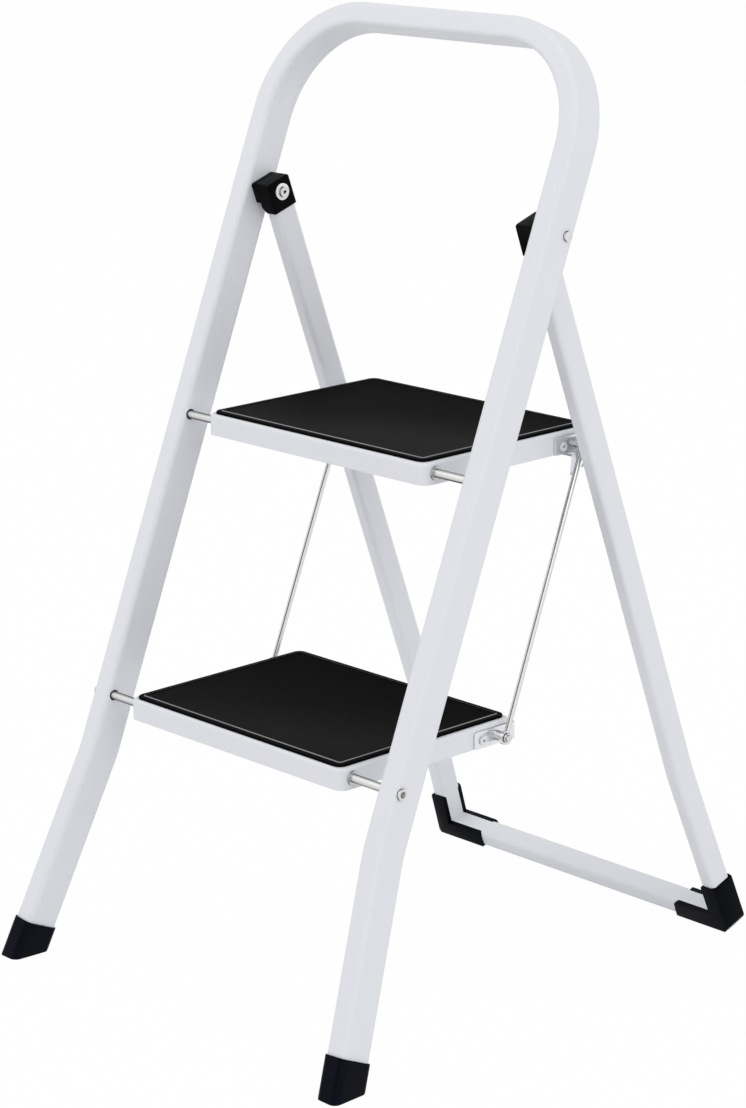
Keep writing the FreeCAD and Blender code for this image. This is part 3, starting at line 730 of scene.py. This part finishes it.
def weldBeads():  # a rippled ring on every point, square to X
    inputs = {"Ripples": "NodeSocketFloat", "Finish": "NodeSocketMaterial"}
    tree, board, given = newTree("weldBeads", inputs)
    sockets = {"Resolution": weldBead["stepsAround"], "Radius": 1.0}
    ring = board.put("GeometryNodeCurvePrimitiveCircle", {}, sockets)
    share = board.put("GeometryNodeSplineParameter")
    wave = board.reckon("SINE", share * given["Ripples"] * (2 * math.pi))
    sockets = {"Curve": ring, "Radius": 1.0 + wave * weldBead["rippleHeight"]}
    thick = board.put("GeometryNodeSetCurveRadius", {}, sockets)
    sockets = {"Resolution": weldBead["sides"], "Radius": weldBead["thick"]}
    section = board.put("GeometryNodeCurvePrimitiveCircle", {}, sockets)
    bead = board.put("GeometryNodeCurveToMesh", {}, {"Curve": thick, "Profile Curve": section})
    quarter = (0.0, math.pi / 2, 0.0)
    rings = copyOnto(board, given["Geometry"], bead, quarter, carried(board, "ringRadius"))
    sockets = {"Geometry": rings, "Material": given["Finish"]}
    dressed = board.put("GeometryNodeSetMaterial", {}, sockets)
    board.put("NodeGroupOutput", {}, {"Geometry": dressed})
    return tree


def makeCatchWelds():  # where the catch rod meets the rear legs
    low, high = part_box("catch_rod")
    middle = (low + high) / 2
    radius = (high.z - low.z) / 2 + weldBead["over"]
    ends = low.x + weldBead["inset"], high.x - weldBead["inset"]
    points = [(x, middle.y, middle.z) for x in ends]
    mesh = pointCloud("catchWelds", points, {"ringRadius": [radius] * 2})
    inputs = {"Ripples": weldBead["ripples"], "Finish": paint}
    grow("catchWelds", mesh, weldBeads(), inputs, "rear_frame", "white_powder_coat")


makeCatchWelds()
print("welds: made")

boltHead = {
    "radius": 0.0044,
    "rise": 0.0022,
    "dimple": 0.9,
    # share of the head painted dark, as the shade in its socket
    "bore": 0.34,
}


def makeBoltHeads():  # domed heads with a painted dark bore, over the plain inner ends of the pivot bolts
    low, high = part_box("pivot_bolts")
    middle = (low + high) / 2
    bolts = [vertex.co.x for vertex in solids["pivot_bolts"].data.vertices]
    points, turns = [], []
    for side in (1, -1):
        inner = min(x * side for x in bolts if x * side > 0)
        points.append((side * (inner + boltHead["rise"]), middle.y, middle.z))
        turns.append(outward[-side])
    sizes = boltHead["radius"], boltHead["rise"] + dome["over"]
    looks = boltHead["dimple"], boltHead["bore"], boltSteel, plastic
    growHeads("pivotBoltHeads", points, turns, sizes, looks, "front_frame", "bright_steel")


makeBoltHeads()
print("pivot bolts: two heads")

studio = {
    "cameraFromPivot": (2.09756, -1.98517, 0.42737),
    "azimuth": 47.078,                   # degrees round the stool from its front
    "elevation": 14.604,
    "lens": 103.08,
    "sensor": 36.0,
    "clipEnd": 100.0,
    "ambient": 0.86,
    "gapToward": (0.09, -0.93, 0.36),    # a dark gap between the soft boxes, for bright metal
    "gapEdge": (0.84, 0.93),             # cosines from there, where the gap begins and is full
    "gapDepth": 0.93,
    "floorSize": 60.0,
    "floorColour": (0.86, 0.86, 0.86),
    "floorGlow": 0.97,                   # share of the floor that stays plain white
}
white = (1.0, 1.0, 1.0)


def makeCamera():
    camera = bpy.data.cameras.new("camera")
    camera.lens = studio["lens"]
    camera.sensor_width = studio["sensor"]
    camera.clip_end = studio["clipEnd"]
    holder = addObject("camera", camera)
    turn, rise = math.radians(studio["azimuth"]), math.radians(studio["elevation"])
    level = math.cos(rise)
    back = Vector((math.sin(turn) * level, -math.cos(turn) * level, math.sin(rise)))
    low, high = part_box("pivot_bolts")
    holder.location = (low + high) / 2 + Vector(studio["cameraFromPivot"])
    holder.rotation_mode = "QUATERNION"
    holder.rotation_quaternion = (-back).to_track_quat("-Z", "Y")
    bpy.context.scene.camera = holder


def seenDirectly(board):  # 1 for camera, mirror and glass rays, 0 for light that falls on things
    rays = "Is Camera Ray", "Is Glossy Ray", "Is Transmission Ray"
    camera, glossy, through = board.put("ShaderNodeLightPath", output=rays)
    return board.reckon("MINIMUM", camera + glossy + through, 1.0)


def makeWorld():
    world = bpy.data.worlds.new("studio")
    world.use_nodes = True
    bpy.context.scene.world = world
    world.node_tree.nodes.clear()
    board = Board(world.node_tree)
    toward = board.put("ShaderNodeTexCoord", output="Generated")
    sockets = {0: toward, 1: studio["gapToward"]}
    near = board.put("ShaderNodeVectorMath", {"operation": "DOT_PRODUCT"}, sockets, "Value")
    gap = ramped(board, near, *studio["gapEdge"], top=studio["gapDepth"])
    mirrored = board.put("ShaderNodeLightPath", output="Is Glossy Ray")
    sockets = {"Color": rgba(white), "Strength": studio["ambient"]}
    soft = board.put("ShaderNodeBackground", {}, sockets)
    sockets = {"Color": rgba(white), "Strength": 1.0 - gap * mirrored}
    seen = board.put("ShaderNodeBackground", {}, sockets)
    both = board.put("ShaderNodeMixShader", {}, {0: seenDirectly(board), 1: soft, 2: seen})
    board.put("ShaderNodeOutputWorld", {}, {"Surface": both})


def makeFloor():
    half = studio["floorSize"] / 2
    corners = [(-half, -half, 0), (half, -half, 0), (half, half, 0), (-half, half, 0)]
    mesh = bpy.data.meshes.new("floor")
    mesh.from_pydata(corners, [], [(0, 1, 2, 3)])
    floor = addObject("floor", mesh)
    material, board = startFinish("floor")
    material.node_tree.nodes.clear()
    matte = board.put("ShaderNodeBsdfDiffuse", {}, {"Color": rgba(studio["floorColour"])})
    glow = board.put("ShaderNodeEmission", {}, {"Color": rgba(white), "Strength": 1.0})
    share = seenDirectly(board) * studio["floorGlow"]
    both = board.put("ShaderNodeMixShader", {}, {0: share, 1: matte, 2: glow})
    board.put("ShaderNodeOutputMaterial", {}, {"Surface": both})
    mesh.materials.append(material)


lamps = [
    {"name": "key", "at": (-1.6, -3.2, 3.4), "size": 2.6, "power": 31.0},
    {"name": "side", "at": (3.6, -0.6, 2.2), "size": 2.4, "power": 26.0},
]


def makeLamps():
    aim = (cadBox[0] + cadBox[1]) / 2
    for lamp in lamps:
        light = bpy.data.lights.new(lamp["name"], "AREA")
        light.shape = "SQUARE"
        light.size = lamp["size"]
        light.energy = lamp["power"]
        holder = addObject(lamp["name"], light)
        holder.location = lamp["at"]
        holder.rotation_mode = "QUATERNION"
        holder.rotation_quaternion = (aim - holder.location).to_track_quat("-Z", "Y")


makeCamera()
makeWorld()
makeFloor()
makeLamps()
bpy.context.scene.view_settings.view_transform = "Standard"
print("studio: camera,", len(lamps), "lamps, floor")
